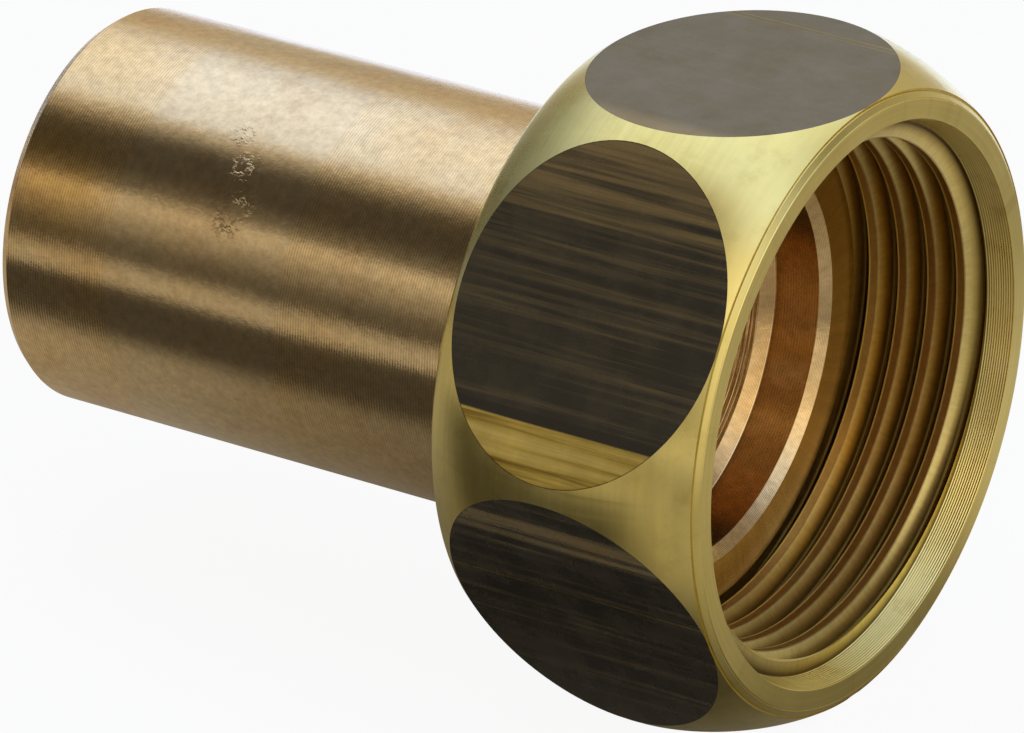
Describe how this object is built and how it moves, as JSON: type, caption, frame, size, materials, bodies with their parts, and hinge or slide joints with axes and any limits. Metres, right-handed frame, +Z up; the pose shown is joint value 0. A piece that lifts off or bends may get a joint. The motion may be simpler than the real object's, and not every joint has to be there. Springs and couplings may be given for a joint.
{
  "type": "press fitting union",
  "caption": "Loose half of a pipe union: a plain plug-in tail with a captive crowned hexagon nut that turns on it.",
  "frame": {"origin": "on the ground, below the middle of the overall length, with the part lying on one flat of the nut", "axes": "+X along the axis towards the nut's mouth, +Z up"},
  "size_m": [0.0608, 0.0488, 0.043],
  "materials": {
    "plug_in_tail": "turned gunmetal, satin",
    "union_nut": "turned brass with dark bar scale on the flats"
  },
  "bodies": {
    "tail": {"plug_in_tail": "plug_in_tail"},
    "nut": {"union_nut": "union_nut"}
  },
  "joints": [
    {"name": "nut_spin", "type": "hinge", "parent": "tail", "child": "nut", "pos_m": [0.01995, 0, 0.0215], "axis": [1, 0, 0], "continuous": true}
  ]
}
